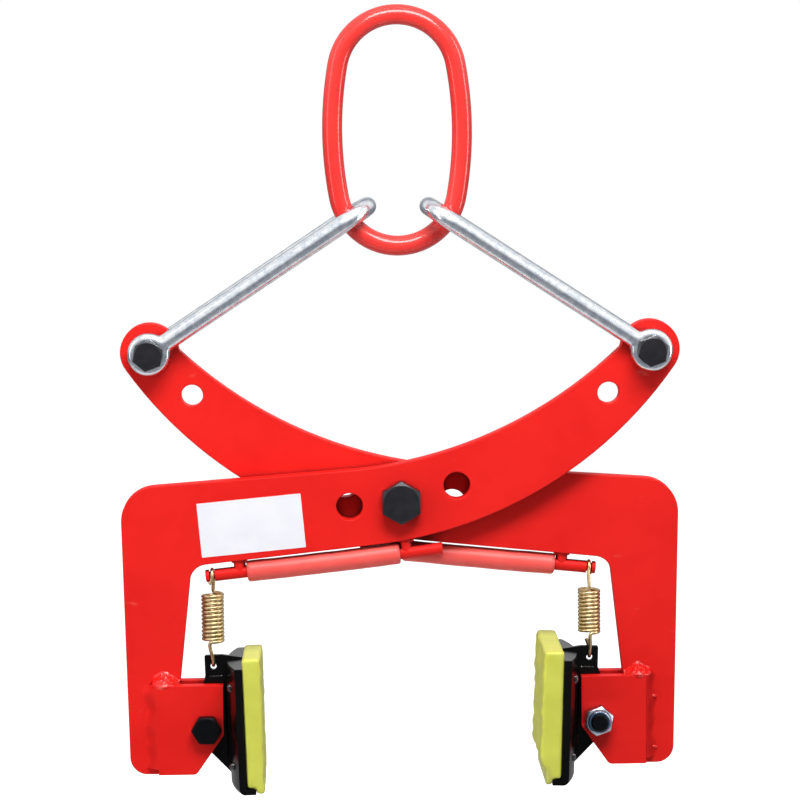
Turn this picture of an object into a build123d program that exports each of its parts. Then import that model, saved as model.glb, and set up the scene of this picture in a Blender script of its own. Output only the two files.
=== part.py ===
"""Scissor clamp for lifting kerbs and stone slabs, hung from an oblong master link.

Millimetres, +X to the right, +Y to the back, +Z up. The origin is the inside crown of the master link,
where the lifting hook bears. The rear arm and its jaw are the front arm and its jaw turned half round
about the upright Z axis.
"""
import os
from math import atan2, cos, degrees, hypot, pi, radians, sin, sqrt, tan

from build123d import *

# Master link
LINK_BAR = 16.0
LINK_INSIDE_W = 87.0
LINK_INSIDE_H = 167.0
LINK_SIDE_BOW = 4.0

# Arms: places are (x, z) from the pivot, for the front arm
PIVOT_Z = -378.4
PLATE_T = 15.0
SPACER_T = 2.5
SPACER_R = 18.5
TOP_EDGE_R = 350.0
LOW_EDGE_R = 334.0
BOSS_R = 23.5
NECK_ANGLE = 175.0
NECK_ROUND = 4.0
HUB_TOP = 30.8
HUB_LOW = 31.8
TOP_SLOPE = 4.0
LOW_SLOPE = 6.0
EYE = (199.5, 119.9)
SPARE_EYE = (166.0, 85.2)
SPARE_PIVOTS = ((-41.2, -3.6), (44.6, 12.3))
PLATE_EDGE_ROUND = 1.0

# Leg of each arm
LEG_OUTSIDE = (-223.5, -15.6)
LEG_OUTSIDE_TILT = 1.2
LEG_INSIDE = (-169.5, -63.1)
LEG_INSIDE_TILT = 6.3
LEG_FOOT_Z = -218.4
LEG_TOP_ROUND = 28.0
LEG_FOOT_ROUND = 14.0
WINDOW_ROUND = 14.0

# Fork of two cheeks on each leg, places from the jaw bolt with x towards the stone
JAW = (-157.5, -180.1)
CHEEK_T = 10.0
CHEEK_EDGE_X = 13.7
CHEEK_W = 52.5
CHEEK_TOP = 35.2
CHEEK_FOOT_RISE = 1.3
CHEEK_CHAMFER_Z = -5.0
CHEEK_CHAMFER_ANGLE = 35.0
CHEEK_FOOT_ROUND = 5.0

# Bolts: diameter, width across the hexagon, head height, nut height
SHACKLE_BOLT = (16.0, 22.0, 10.0, 16.0)
PIVOT_BOLT = (20.0, 30.0, 12.5, 20.0)
JAW_BOLT = (14.0, 21.0, 8.8, 14.0)
BOLT_END = 3.0
HEX_FACE = 0.95
HEX_TURNED_ANGLE = 30.0
NUT_COLLAR_H = 0.28
NUT_COLLAR_R = 0.44
SHACKLE_HEX_ANGLE = 20.0
PIVOT_HEX_ANGLE = 30.0
JAW_NUT_ANGLE = 20.0
SHACKLE_HOLE_R = 8.7
PIVOT_HOLE_R = 10.7
JAW_HOLE_R = 7.3
NUT_CLEARANCE = 0.05

# Shackles
ROD_D = 14.0
EYE_D = 33.0
EYE_GAP = 21.0
BOW_INSIDE_W = 33.0
SIDE_PLAY = 0.3
BOW_PLAY = 0.6

# Bumper rod under each arm
BUMPER_D = 10.0
BUMPER_DROP = 10.1
BUMPER_END_X = -157.0
BUMPER_INNER_X = 33.0
SLEEVE_D = 17.0
SLEEVE_FIT = 0.1
OUTER_POST_X = -129.0
INNER_POST_X = 4.0
POST_D = 9.5
POST_GAP = 0.4
GROOVE_W = 4.4
GROOVE_R = 3.4

# Pad holder, places from the jaw bolt with x towards the stone
HOLDER_TILT = 1.8
HOLDER_W = 100.0
PAD_BACK_X = 31.0
PAD_T = 15.8
PAD_TOP = 59.5
PAD_FOOT = -48.0
PAD_ROUND = 2.0
SHOE_SIDE_T = 6.0
SHOE_MIDDLE_T = 13.6
SHOE_TOP = 53.0
SHOE_TOP_ROUND = 1.0
SHOE_FOOT_ROUND = 4.5
LIP_L = 7.0
LIP_T = 4.8
LIP_FIT = 0.4
LUG_R = 12.5
LUG_TOP = 40.0
LUG_FOOT = -40.0
LUG_SIDE_PLAY = 0.3
WELD_X = 2.2
WELD_Y = 8.0
WELD_SPAN = (-26.0, 38.0)
TAB_T = 4.0
TAB_X = (0.2, 14.0)
TAB_TOP = 57.0
TAB_OVER = 1.2
TAB_PAD_GAP = 0.6
TAB_ROUND = 1.5
TAB_HOLE = (7.2, 47.8)
TAB_HOLE_R = 2.5

# Extension spring between bumper rod and tab
WIRE_D = 2.6
COIL_D = 18.6
COIL_TURNS = 12
COIL_PITCH = 3.3
HOOK_PLAY = 0.15
HOOK_TAIL = 2.5
WIRE_SAMPLES = 900

# Worked out from the sizes above
ARM_Y = (PLATE_T + SPACER_T) / 2
FORK_T = PLATE_T + 2 * CHEEK_T
LINK_HALF_W = (LINK_INSIDE_W + LINK_BAR) / 2
LINK_HALF_H = (LINK_INSIDE_H + LINK_BAR) / 2
LINK_CENTRE_Z = -LINK_INSIDE_H / 2
LINK_BEND_R = LINK_HALF_W - LINK_SIDE_BOW
LINK_BEND_RISE = LINK_HALF_H - LINK_BEND_R
BEND_Z = LINK_CENTRE_Z - LINK_BEND_RISE
SHACKLE_Y = ARM_Y - (EYE_GAP - PLATE_T) / 2 + SIDE_PLAY
SHACKLE_RISE = BEND_Z - PIVOT_Z - EYE[1]
SHACKLE_ANGLE = degrees(atan2(SHACKLE_RISE, EYE[0]))
LINK_REACH = hypot(EYE[0], SHACKLE_RISE) - LINK_BEND_R
SHOE_MIDDLE_X = PAD_BACK_X - SHOE_MIDDLE_T


def shifted(point, length, angle):
    """Point at a length from another, at an angle in degrees from +X."""
    return (point[0] + length * cos(radians(angle)), point[1] + length * sin(radians(angle)))


def heading(p, q):
    """Angle in degrees of the way from p to q."""
    return degrees(atan2(q[1] - p[1], q[0] - p[0]))


def crossing(p, p_angle, q, q_angle):
    """Point where a line through p and a line through q cross, angles in degrees."""
    px, pz = cos(radians(p_angle)), sin(radians(p_angle))
    qx, qz = cos(radians(q_angle)), sin(radians(q_angle))
    length = ((q[0] - p[0]) * qz - (q[1] - p[1]) * qx) / (px * qz - pz * qx)
    return shifted(p, length, p_angle)


def arc_centre(p, p_reach, q, q_reach):
    """Point at p_reach from p and q_reach from q, left of the way from p to q."""
    span = hypot(q[0] - p[0], q[1] - p[1])
    along = (p_reach ** 2 - q_reach ** 2 + span ** 2) / (2 * span)
    aside = sqrt(p_reach ** 2 - along ** 2)
    angle = heading(p, q)
    return shifted(shifted(p, along, angle), aside, angle + 90)


NECK = shifted(EYE, BOSS_R, NECK_ANGLE)
TOP_CENTRE = arc_centre((0, HUB_TOP), TOP_EDGE_R, NECK, TOP_EDGE_R)
LOW_CENTRE = arc_centre((0, -HUB_LOW), LOW_EDGE_R, EYE, LOW_EDGE_R - BOSS_R)
TOP_START = shifted(TOP_CENTRE, TOP_EDGE_R, TOP_SLOPE - 90)
LOW_START = shifted(LOW_CENTRE, LOW_EDGE_R, LOW_SLOPE - 90)
BUMPER_ORIGIN = shifted(LOW_START, BUMPER_DROP, LOW_SLOPE - 90)


def on_bumper(x):
    """Point on the middle line of the bumper rod at a place across the arm."""
    return (x, BUMPER_ORIGIN[1] + (x - BUMPER_ORIGIN[0]) * tan(radians(LOW_SLOPE)))


def tilted(point):
    """Place of a point of the pad holder once the holder leans at rest."""
    return shifted((0, 0), hypot(*point), heading((0, 0), point) + HOLDER_TILT)


SPRING_X = JAW[0] + tilted(TAB_HOLE)[0]


def build_master_link():
    """Round bar bent to an oval of two end bends and two long side bends."""
    side_r = (LINK_HALF_W ** 2 + LINK_BEND_RISE ** 2 - LINK_BEND_R ** 2) / (2 * LINK_SIDE_BOW)
    side_x = side_r - LINK_HALF_W
    turn = heading((-side_x, 0), (0, LINK_BEND_RISE))
    with BuildPart() as link:
        with BuildLine(Plane.XZ) as half:
            CenterArc((0, -LINK_BEND_RISE), LINK_BEND_R, -90, 90 - turn)
            CenterArc((-side_x, 0), side_r, -turn, 2 * turn)
            CenterArc((0, LINK_BEND_RISE), LINK_BEND_R, turn, 90 - turn)
        with BuildSketch(Plane(origin=half.wire() @ 0, z_dir=half.wire() % 0)):
            Circle(LINK_BAR / 2)
        sweep(path=half.wire())
        mirror(about=Plane.YZ)
    return Pos(0, 0, LINK_CENTRE_Z) * link.part


def build_shackle():
    """Long bow shackle with its bolt at the origin along Y and its bow towards +X."""
    inside_r = BOW_INSIDE_W / 2
    bow_r = inside_r + ROD_D / 2
    seat_r = inside_r - LINK_BAR / 2 - BOW_PLAY
    bow_x = LINK_REACH - sqrt(seat_r ** 2 - SHACKLE_Y ** 2)
    eye_y = (EYE_GAP + ROD_D) / 2
    root_x = EYE_D / 2 - ROD_D / 4
    lean = heading((root_x, eye_y), (bow_x, 0))
    reach = hypot(bow_x - root_x, eye_y)
    touch_angle = lean + degrees(atan2(bow_r, sqrt(reach ** 2 - bow_r ** 2))) + 90
    touch = shifted((bow_x, 0), bow_r, touch_angle)
    with BuildPart() as shackle:
        with BuildLine(Plane.XY) as path:
            leg = Line((root_x, -eye_y), (touch[0], -touch[1]))
            bow = TangentArc(leg @ 1, touch, tangent=leg % 1)
            Line(bow @ 1, (root_x, eye_y))
        with BuildSketch(Plane(origin=path.wire() @ 0, z_dir=path.wire() % 0)):
            Circle(ROD_D / 2)
        sweep(path=path.wire())
        with BuildSketch(Plane.XY) as eyes:
            with Locations((EYE_D / 4, -eye_y), (EYE_D / 4, eye_y)):
                Rectangle(EYE_D / 2, ROD_D)
            fillet(eyes.vertices().group_by(Axis.X)[-1], ROD_D / 5)
        revolve(axis=Axis.Y)
        with BuildSketch(Plane.XZ):
            Circle(SHACKLE_HOLE_R)
        extrude(amount=EYE_GAP + ROD_D, both=True, mode=Mode.SUBTRACT)
    return shackle.part


def build_arm():
    """Arm plate: a curved band from eye to hub, then a level plate and a leg."""
    low_end = shifted(EYE, BOSS_R, heading(LOW_CENTRE, EYE))
    outside = 90 + LEG_OUTSIDE_TILT
    inside = 90 - LEG_INSIDE_TILT
    shoulder = crossing(TOP_START, TOP_SLOPE, LEG_OUTSIDE, outside)
    outer_foot = crossing((0, LEG_FOOT_Z), 0, LEG_OUTSIDE, outside)
    inner_foot = crossing((0, LEG_FOOT_Z), 0, LEG_INSIDE, inside)
    window = crossing(LOW_START, LOW_SLOPE, LEG_INSIDE, inside)
    with BuildPart() as arm:
        with BuildSketch(Plane.XZ) as outline:
            with BuildLine():
                top = Line(shoulder, TOP_START)
                TangentArc(TOP_START, NECK, tangent=top % 1)
                boss = ThreePointArc(NECK, shifted(EYE, BOSS_R, NECK_ANGLE / 2), low_end)
                TangentArc(low_end, LOW_START, tangent=boss % 1)
                Polyline(LOW_START, window, inner_foot, outer_foot, shoulder)
            make_face()
            corners = ((NECK, NECK_ROUND), (shoulder, LEG_TOP_ROUND), (outer_foot, LEG_FOOT_ROUND),
                       (window, WINDOW_ROUND))
            for corner, radius in corners:
                fillet(outline.vertices().sort_by_distance(corner)[0], radius)
            with Locations((0, 0), *SPARE_PIVOTS):
                Circle(PIVOT_HOLE_R, mode=Mode.SUBTRACT)
            with Locations(EYE, SPARE_EYE):
                Circle(SHACKLE_HOLE_R, mode=Mode.SUBTRACT)
        extrude(amount=PLATE_T / 2, both=True)
        rims = arm.faces().filter_by(Axis.Y).edges()
        fillet(rims, PLATE_EDGE_ROUND)
    return arm.part


def build_cheek():
    """Cheek plate of the fork, from its outer face at y = 0 to the back, jaw bolt at the origin."""
    outer_x = CHEEK_EDGE_X - CHEEK_W
    foot = LEG_FOOT_Z - JAW[1] + CHEEK_FOOT_RISE
    chamfer_x = CHEEK_EDGE_X - (CHEEK_CHAMFER_Z - foot) * tan(radians(CHEEK_CHAMFER_ANGLE))
    with BuildPart() as cheek:
        with BuildSketch(Plane.XZ) as outline:
            with BuildLine():
                Polyline((outer_x, CHEEK_TOP), (CHEEK_EDGE_X, CHEEK_TOP), (CHEEK_EDGE_X, CHEEK_CHAMFER_Z),
                         (chamfer_x, foot), (outer_x, foot), close=True)
            make_face()
            fillet(outline.vertices().sort_by_distance((chamfer_x, foot))[0], CHEEK_FOOT_ROUND)
            Circle(JAW_HOLE_R, mode=Mode.SUBTRACT)
        extrude(amount=-CHEEK_T)
        rims = cheek.faces().filter_by(Axis.Y).edges()
        fillet(rims, PLATE_EDGE_ROUND / 2)
    return cheek.part


def build_hexagon(across, height, rotation):
    """Hexagon standing on the XY plane, its upper corners turned off to a round face."""
    corner = across / sqrt(3)
    flat = HEX_FACE * across / 2
    turned = (corner - flat) * tan(radians(HEX_TURNED_ANGLE))
    with BuildPart() as hexagon:
        with BuildSketch(Plane.XY):
            RegularPolygon(across / 2, 6, major_radius=False, rotation=rotation)
        extrude(amount=height)
        with BuildSketch(Plane.XZ):
            with BuildLine():
                Polyline((0, 0), (corner, 0), (corner, height - turned), (flat, height), (0, height),
                         close=True)
            make_face()
        revolve(axis=Axis.Z, mode=Mode.INTERSECT)
    return hexagon.part


def build_bolt(size, grip, rotation=0.0):
    """Hexagon bolt lying along Y, the face under its head at y = 0 and its head to the front."""
    diameter, across, head, nut = size
    length = grip + nut + BOLT_END
    with BuildPart() as bolt:
        add(build_hexagon(across, head, rotation))
        with BuildSketch(Plane.XY):
            Circle(diameter / 2)
        extrude(amount=-length)
        tip = bolt.edges().filter_by(GeomType.CIRCLE).sort_by(Axis.Z)[0]
        chamfer(tip, diameter / 12)
    return Rot(90, 0, 0) * bolt.part


def build_nut(size, rotation=0.0):
    """Lock nut lying along Y with its bearing face at y = 0 and its round collar to the front."""
    diameter, across, _, height = size
    collar = NUT_COLLAR_H * height
    collar_r = NUT_COLLAR_R * across
    with BuildPart() as nut:
        add(build_hexagon(across, height - collar, rotation))
        with BuildSketch(Plane.XY.offset(height - collar)):
            Circle(collar_r)
        extrude(amount=collar)
        rim = nut.edges().filter_by(GeomType.CIRCLE).sort_by(Axis.Z)[-1]
        fillet(rim, collar / 2)
        with BuildSketch(Plane.XY):
            Circle(diameter / 2 + NUT_CLEARANCE)
        extrude(amount=height, mode=Mode.SUBTRACT)
    return Rot(90, 0, 0) * nut.part


def build_spacer():
    """Flat ring on the pivot between the two arms."""
    with BuildPart() as spacer:
        with BuildSketch(Plane.XZ):
            Circle(SPACER_R)
            Circle(PIVOT_BOLT[0] / 2 + NUT_CLEARANCE, mode=Mode.SUBTRACT)
        extrude(amount=SPACER_T / 2, both=True)
    return spacer.part


def bumper_plane():
    """Plane of the arm with its x along the bumper rod and its origin under the pivot."""
    x, z = on_bumper(0)
    slope = radians(LOW_SLOPE)
    return Plane(origin=(x, 0, z), x_dir=(cos(slope), 0, sin(slope)), z_dir=(0, -1, 0))


def along_bumper(x):
    """Length along the bumper rod at a place across the arm."""
    return x / cos(radians(LOW_SLOPE))


def build_bumper_rod():
    """Round rod with a groove near its outer end for the spring hook."""
    plane = bumper_plane()
    radius = BUMPER_D / 2
    ends = (along_bumper(BUMPER_END_X), along_bumper(BUMPER_INNER_X))
    with BuildPart() as rod:
        with BuildSketch(plane):
            with Locations(((ends[0] + ends[1]) / 2, radius / 2)):
                Rectangle(ends[1] - ends[0], radius)
            with Locations((along_bumper(SPRING_X), radius)):
                Rectangle(GROOVE_W, 2 * (radius - GROOVE_R), mode=Mode.SUBTRACT)
        revolve(axis=Axis(plane.origin, plane.x_dir))
        tips = rod.faces().filter_by(GeomType.PLANE).sort_by(Axis.X)
        fillet(tips[0].edges() + tips[-1].edges(), BUMPER_D / 10)
    return rod.part


def build_post(x, arm, rod):
    """Short round post that carries the rod under the arm's lower edge."""
    plane = bumper_plane()
    foot = Plane(origin=plane.from_local_coords((along_bumper(x), 0, 0)), z_dir=plane.y_dir)
    with BuildPart() as post:
        with BuildSketch(foot):
            Circle(POST_D / 2)
        extrude(amount=BUMPER_DROP + POST_D)
        add(rod, mode=Mode.SUBTRACT)
        add(arm, mode=Mode.SUBTRACT)
    return post.part.solids().sort_by_distance(foot.origin)[0]


def build_sleeve():
    """Soft tube on the rod between the two posts."""
    plane = bumper_plane()
    start = along_bumper(OUTER_POST_X) + POST_D / 2 + POST_GAP
    end = along_bumper(INNER_POST_X) - POST_D / 2 - POST_GAP
    with BuildPart() as sleeve:
        with BuildSketch(Plane(origin=plane.from_local_coords((start, 0, 0)), z_dir=plane.x_dir)):
            Circle(SLEEVE_D / 2)
            Circle(BUMPER_D / 2 + SLEEVE_FIT, mode=Mode.SUBTRACT)
        extrude(amount=end - start)
        rims = sleeve.edges().filter_by(GeomType.CIRCLE).sort_by(SortBy.RADIUS)[-2:]
        fillet(rims, SLEEVE_D / 12)
    return sleeve.part


def build_shoe():
    """Backing of the pad: flat towards the pad, bowed behind, with a lip under the pad."""
    side_x = PAD_BACK_X - SHOE_SIDE_T
    half = HOLDER_W / 2
    with BuildPart() as shoe:
        with BuildSketch(Plane.XY.offset(PAD_FOOT)):
            with BuildLine():
                ThreePointArc((side_x, -half), (SHOE_MIDDLE_X, 0), (side_x, half))
                Polyline((side_x, half), (PAD_BACK_X, half), (PAD_BACK_X, -half), (side_x, -half))
            make_face()
        extrude(amount=SHOE_TOP - PAD_FOOT)
        with BuildSketch(Plane.XY.offset(PAD_FOOT)):
            with Locations((PAD_BACK_X + LIP_L / 2, 0)):
                Rectangle(LIP_L, HOLDER_W)
        extrude(amount=LIP_T)
        rear = shoe.faces().filter_by(GeomType.CYLINDER).edges().filter_by(Axis.Z, reverse=True)
        fillet(rear.sort_by(Axis.Z)[0], SHOE_FOOT_ROUND)
        fillet(rear.sort_by(Axis.Z)[-1], SHOE_TOP_ROUND)
    return shoe.part


def build_lug(shoe):
    """Lug that turns on the jaw bolt, with the fillet welds that join it to the shoe."""
    thickness = PLATE_T - 2 * LUG_SIDE_PLAY
    buried_x = SHOE_MIDDLE_X + WELD_X
    with BuildPart() as lug:
        with BuildSketch(Plane.XZ):
            Circle(LUG_R)
            with BuildLine():
                Polyline((TAB_X[0], LUG_TOP), (buried_x, LUG_TOP), (buried_x, LUG_FOOT))
            make_hull()
            Circle(JAW_HOLE_R, mode=Mode.SUBTRACT)
        extrude(amount=thickness / 2, both=True)
        with BuildSketch(Plane.XY.offset(WELD_SPAN[0])):
            with BuildLine():
                Polyline((SHOE_MIDDLE_X - WELD_X, thickness / 2), (SHOE_MIDDLE_X, thickness / 2 + WELD_Y),
                         (buried_x, thickness / 2 + WELD_Y), (buried_x, thickness / 2), close=True)
            make_face()
            mirror(about=Plane.XZ)
        extrude(amount=WELD_SPAN[1] - WELD_SPAN[0])
        add(shoe, mode=Mode.SUBTRACT)
    return lug.part.solids().sort_by(SortBy.VOLUME)[-1]


def build_tab(shoe):
    """Flat tab on top of the lug and the shoe, with the hole for the spring."""
    end_x = PAD_BACK_X - TAB_PAD_GAP
    with BuildPart() as tab:
        with BuildSketch(Plane.XZ) as outline:
            with BuildLine():
                Polyline((TAB_X[0], LUG_TOP), (TAB_X[0], TAB_TOP), (TAB_X[1], TAB_TOP),
                         (end_x, SHOE_TOP + TAB_OVER), (end_x, LUG_TOP), close=True)
            make_face()
            fillet(outline.vertices().sort_by_distance((TAB_X[0], TAB_TOP))[0], TAB_ROUND)
            with Locations(TAB_HOLE):
                Circle(TAB_HOLE_R, mode=Mode.SUBTRACT)
        extrude(amount=TAB_T / 2, both=True)
        add(shoe, mode=Mode.SUBTRACT)
    return tab.part.solids().sort_by(SortBy.VOLUME)[-1]


def build_pad():
    """Soft block with a step at its foot that stands on the lip of the shoe."""
    face_x = PAD_BACK_X + PAD_T
    step_x = PAD_BACK_X + LIP_L + LIP_FIT
    step_z = PAD_FOOT + LIP_T
    with BuildPart() as pad:
        with BuildSketch(Plane.XZ):
            with BuildLine():
                Polyline((PAD_BACK_X, step_z), (PAD_BACK_X, PAD_TOP), (face_x, PAD_TOP), (face_x, PAD_FOOT),
                         (step_x, PAD_FOOT), (step_x, step_z), close=True)
            make_face()
        extrude(amount=HOLDER_W / 2, both=True)
        fillet(pad.faces().sort_by(Axis.X)[-1].edges(), PAD_ROUND)
    return pad.part


def biarc(start, start_way, end, end_way):
    """Two arcs that leave start and reach end along given directions."""
    span = end - start
    ways = start_way + end_way
    spread = 2 * (1 - start_way.dot(end_way))
    along = span.dot(ways)
    reach = (sqrt(along ** 2 + spread * span.dot(span)) - along) / spread
    joint = (start + end + (start_way - end_way) * reach) * 0.5
    first = TangentArc(start, joint, tangent=start_way)
    second = TangentArc(joint, end, tangent=first % 1)
    return first, second


def build_spring():
    """Close extension spring along Z about x = 0, its hooks in the plane x = 0 and open to opposite sides."""
    hook_r = GROOVE_R + WIRE_D / 2 + HOOK_PLAY
    top_z = on_bumper(SPRING_X)[1]
    dip = hook_r - sqrt(hook_r ** 2 - (TAB_T / 2) ** 2)
    hole_z = JAW[1] + tilted(TAB_HOLE)[1]
    low_z = hole_z + TAB_HOLE_R - WIRE_D / 2 - dip - HOOK_PLAY + hook_r
    middle_z = (top_z + low_z) / 2
    coil_r = (COIL_D - WIRE_D) / 2
    coil_h = COIL_PITCH * COIL_TURNS
    rise = COIL_PITCH / (2 * pi)
    hook_h = top_z - middle_z
    neck_h = coil_h / 2 + coil_r

    def on_coil(half_turns):
        """Point and direction on the coil after a number of half turns from its foot."""
        angle = half_turns * pi
        point = Vector(coil_r * cos(angle), coil_r * sin(angle), rise * angle - coil_h / 2)
        way = Vector(-coil_r * sin(angle), coil_r * cos(angle), rise)
        return point, way.normalized()

    half_turns = 2 * COIL_TURNS
    up = Vector(0, 0, 1)
    with BuildPart() as spring:
        with BuildLine() as wire:
            Line((0, hook_r, HOOK_TAIL - hook_h), (0, hook_r, -hook_h))
            ThreePointArc((0, hook_r, -hook_h), (0, 0, -hook_h - hook_r), (0, -hook_r, -hook_h))
            Line((0, -hook_r, -hook_h), (0, -hook_r, -neck_h))
            biarc(Vector(0, -hook_r, -neck_h), up, *on_coil(0))
            for index in range(half_turns):
                biarc(*on_coil(index), *on_coil(index + 1))
            biarc(*on_coil(half_turns), Vector(0, hook_r, neck_h), up)
            Line((0, hook_r, neck_h), (0, hook_r, hook_h))
            ThreePointArc((0, hook_r, hook_h), (0, 0, hook_h + hook_r), (0, -hook_r, hook_h))
            Line((0, -hook_r, hook_h), (0, -hook_r, hook_h - HOOK_TAIL))
        path = wire.wire()
        with BuildSketch(Plane(origin=path @ 0, z_dir=path % 0)):
            Circle(WIRE_D / 2)
        sweep(path=path)
    print("spring: least gap to itself", round(least_gap(path), 2), "mm")
    return Pos(SPRING_X, 0, middle_z) * spring.part


def least_gap(path):
    """Least gap in a spring's wire between points more than two and a half diameters apart along it."""
    step = path.length / WIRE_SAMPLES
    points = [path @ (index / WIRE_SAMPLES) for index in range(WIRE_SAMPLES + 1)]
    apart = round(2.5 * WIRE_D / step)
    return min((points[i] - points[j]).length for i in range(WIRE_SAMPLES + 1)
               for j in range(i + apart, WIRE_SAMPLES + 1)) - WIRE_D


def hand_in(piece, node):
    """Label a placed piece and write it to its own file."""
    piece.label = node
    export_step(piece, f"parts/{node}.step")


def build_hanger():
    """Master link with the two shackles, each on its own arm, and their bolts."""
    hand_in(build_master_link(), "master_link")
    shackle = build_shackle()
    bolt = build_bolt(SHACKLE_BOLT, EYE_GAP + 2 * ROD_D, SHACKLE_HEX_ANGLE)
    nut = Rot(0, 0, 180) * build_nut(SHACKLE_BOLT)
    head_y = -EYE_GAP / 2 - ROD_D
    for side, name in ((-1, "left"), (1, "right")):
        eye = Pos(side * EYE[0], -side * SHACKLE_Y, PIVOT_Z + EYE[1])
        lean = -SHACKLE_ANGLE if side < 0 else SHACKLE_ANGLE - 180
        hand_in(eye * Rot(0, lean, 0) * shackle, f"{name}_shackle")
        hand_in(eye * Pos(0, head_y, 0) * bolt, f"{name}_shackle_bolt")
        hand_in(eye * Pos(0, -head_y, 0) * nut, f"{name}_shackle_nut")


def build_pivot():
    """Bolt that joins the arms, its nut and the spacer between the arms."""
    pivot = Pos(0, 0, PIVOT_Z)
    face_y = ARM_Y + PLATE_T / 2
    bolt = build_bolt(PIVOT_BOLT, 2 * face_y, PIVOT_HEX_ANGLE)
    hand_in(pivot * Pos(0, -face_y, 0) * bolt, "pivot_bolt")
    nut = Rot(0, 0, 180) * build_nut(PIVOT_BOLT, PIVOT_HEX_ANGLE)
    hand_in(pivot * Pos(0, face_y, 0) * nut, "pivot_nut")
    hand_in(pivot * build_spacer(), "pivot_spacer")


def build_arms():
    """Both arms with their forks, bumpers, pad holders and springs."""
    arm = build_arm()
    cheek = build_cheek()
    rod = build_bumper_rod()
    shoe = build_shoe()
    at_jaw = Pos(JAW[0], 0, JAW[1])
    holder = at_jaw * Rot(0, -HOLDER_TILT, 0)
    fork_face = FORK_T / 2
    pieces = {
        "front_cheek": at_jaw * Pos(0, -fork_face, 0) * cheek,
        "rear_cheek": at_jaw * Pos(0, PLATE_T / 2, 0) * cheek,
        "jaw_bolt": at_jaw * Pos(0, -fork_face, 0) * build_bolt(JAW_BOLT, FORK_T),
        "jaw_nut": at_jaw * Pos(0, fork_face, 0) * Rot(0, 0, 180) * build_nut(JAW_BOLT, JAW_NUT_ANGLE),
        "bumper_rod": rod,
        "outer_post": build_post(OUTER_POST_X, arm, rod),
        "inner_post": build_post(INNER_POST_X, arm, rod),
        "bumper_sleeve": build_sleeve(),
        "spring": build_spring(),
        "shoe": holder * shoe,
        "lug": holder * build_lug(shoe),
        "spring_tab": holder * build_tab(shoe),
        "pad": holder * build_pad(),
    }
    front = Pos(0, -ARM_Y, PIVOT_Z)
    rear = Rot(0, 0, 180) * front
    hand_in(front * arm, "front_arm")
    hand_in(rear * arm, "rear_arm")
    for name, piece in pieces.items():
        hand_in(front * piece, f"left_{name}")
        turned = {"front_cheek": "rear_cheek", "rear_cheek": "front_cheek"}.get(name, name)
        hand_in(rear * piece, f"right_{turned}")


os.makedirs("parts", exist_ok=True)
build_hanger()
build_pivot()
build_arms()
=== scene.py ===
"""Looks of the stone lifting clamp: finishes, welds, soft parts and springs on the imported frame.

Everything is in metres in the frame's own axes: +X to the right jaw, +Y to the back and +Z up, with the
origin at the inside crown of the master link.
"""
import logging
import math
from collections.abc import Callable, Iterator
from contextlib import contextmanager
from dataclasses import KW_ONLY, dataclass
from enum import Enum
from functools import cache
from typing import Any

import bpy
from bpy.types import Material, MeshVertex, Node, NodeSocket, NodeTree, Object
from mathutils import Matrix, Vector, noise


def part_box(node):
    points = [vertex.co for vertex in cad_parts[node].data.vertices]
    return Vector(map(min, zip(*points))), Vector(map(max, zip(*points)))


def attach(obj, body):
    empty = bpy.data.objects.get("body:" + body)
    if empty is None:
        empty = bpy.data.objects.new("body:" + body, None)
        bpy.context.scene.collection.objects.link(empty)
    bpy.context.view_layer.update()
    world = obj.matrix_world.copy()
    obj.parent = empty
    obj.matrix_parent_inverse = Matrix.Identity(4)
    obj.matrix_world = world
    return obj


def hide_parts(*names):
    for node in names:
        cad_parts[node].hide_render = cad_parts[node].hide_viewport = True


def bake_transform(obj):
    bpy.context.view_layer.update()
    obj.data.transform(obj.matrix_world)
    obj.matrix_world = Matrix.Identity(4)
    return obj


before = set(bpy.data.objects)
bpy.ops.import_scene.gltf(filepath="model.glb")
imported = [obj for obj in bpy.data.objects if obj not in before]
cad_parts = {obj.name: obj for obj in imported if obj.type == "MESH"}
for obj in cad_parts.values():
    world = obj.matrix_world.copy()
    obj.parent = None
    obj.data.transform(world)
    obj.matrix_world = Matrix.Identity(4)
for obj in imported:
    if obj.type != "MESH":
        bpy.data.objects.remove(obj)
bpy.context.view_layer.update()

LOG = logging.getLogger("clamp")
MM = 0.001
# Seed of the welds' wander, so that each run builds the same shapes.
WANDER_SEED = 1
Pair = tuple[float, float]
Triple = tuple[float, float, float]


class Side(Enum):
    """The two halves of the clamp; the rear arm carries the right jaw."""

    LEFT = "left"
    RIGHT = "right"

    @property
    def sign(self) -> int:
        """Way from the jaw towards the stone along X."""
        return self.pick(1, -1)

    @property
    def arm(self) -> str:
        """Body of the arm that carries this jaw."""
        return self.pick("front_arm", "rear_arm")

    @property
    def holder(self) -> str:
        """Body of this side's pad holder."""
        return f"{self.value}_pad_holder"

    def pick(self, left: Any, right: Any) -> Any:
        """Give this side's one of two values."""
        return left if self is Side.LEFT else right

    def node(self, piece: str) -> str:
        """Name of this side's CAD node for a piece."""
        return f"{self.value}_{piece}"


def linear(code: str) -> tuple[float, float, float, float]:
    """Turn an sRGB colour such as "#e8251e" to linear red, green and blue, with an alpha of 1."""
    parts = [int(code[place:place + 2], 16) / 255 for place in (1, 3, 5)]
    return (*[part / 12.92 if part <= 0.04045 else ((part + 0.055) / 1.055) ** 2.4 for part in parts], 1.0)


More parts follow.
